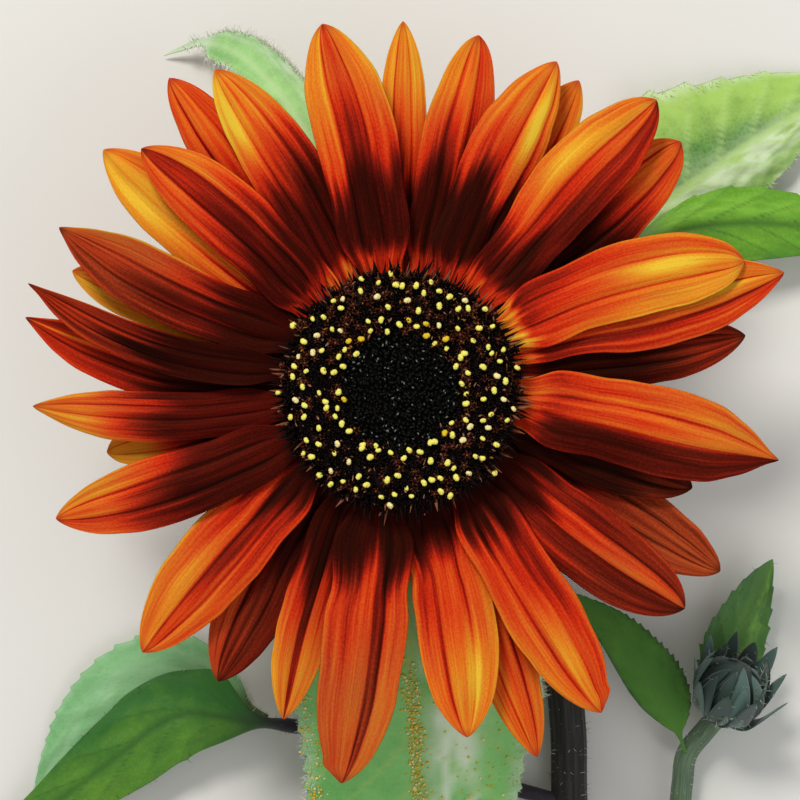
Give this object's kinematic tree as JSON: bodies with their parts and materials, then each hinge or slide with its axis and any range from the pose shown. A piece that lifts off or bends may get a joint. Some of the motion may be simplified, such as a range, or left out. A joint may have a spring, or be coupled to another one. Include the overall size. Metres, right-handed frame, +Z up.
{
  "type": "cut sunflower stem with one open bronze-red bloom",
  "caption": "Cut stem of a bronze-red sunflower lying on its back: one open bloom facing up, its leaves and bracts, and a side branch with a closed bud.",
  "frame": {"origin": "middle of the underside of the whole piece, on the surface it lies on", "axes": "+Z up, the way the bloom faces; the stem runs towards -Y and ends there in its cut"},
  "size_m": [0.196, 0.2634, 0.0585],
  "materials": {
    "petal": "soft satin petal",
    "disc": "matt, packed florets",
    "leaf": "hairy, matt",
    "dark_leaf": "hairy, matt",
    "stem": "ribbed, bristly",
    "branch": "ribbed, bristly",
    "bud": "hairy, matt"
  },
  "bodies": {
    "root": {"stem": "stem", "neck": "stem", "side_branch": "branch", "leaf_bottom": "leaf", "leaf_lower_left_behind": "leaf", "leaf_upper_right": "leaf", "leaf_upper_right_inner": "leaf", "bract_upper_left": "leaf", "receptacle": "leaf", "involucre": "leaf", "leaf_lower_left": "dark_leaf", "bract_lower_right": "dark_leaf", "bud_leaf_left": "dark_leaf", "bud_leaf_right": "dark_leaf", "bud": "bud", "bud_bracts": "bud", "disc": "disc", "ray_floret_01": "petal", "ray_floret_02": "petal", "ray_floret_03": "petal", "ray_floret_04": "petal", "ray_floret_05": "petal", "ray_floret_06": "petal", "ray_floret_07": "petal", "ray_floret_08": "petal", "ray_floret_09": "petal", "ray_floret_10": "petal", "ray_floret_11": "petal", "ray_floret_12": "petal", "ray_floret_13": "petal", "ray_floret_14": "petal", "ray_floret_15": "petal", "ray_floret_16": "petal", "ray_floret_17": "petal", "ray_floret_18": "petal", "ray_floret_19": "petal", "ray_floret_20": "petal", "ray_floret_21": "petal", "ray_floret_22": "petal", "ray_floret_23": "petal", "ray_floret_24": "petal", "ray_floret_25": "petal", "ray_floret_26": "petal", "ray_floret_27": "petal", "ray_floret_28": "petal", "ray_floret_29": "petal", "ray_floret_30": "petal", "ray_floret_31": "petal", "ray_floret_32": "petal"}
  },
  "joints": []
}
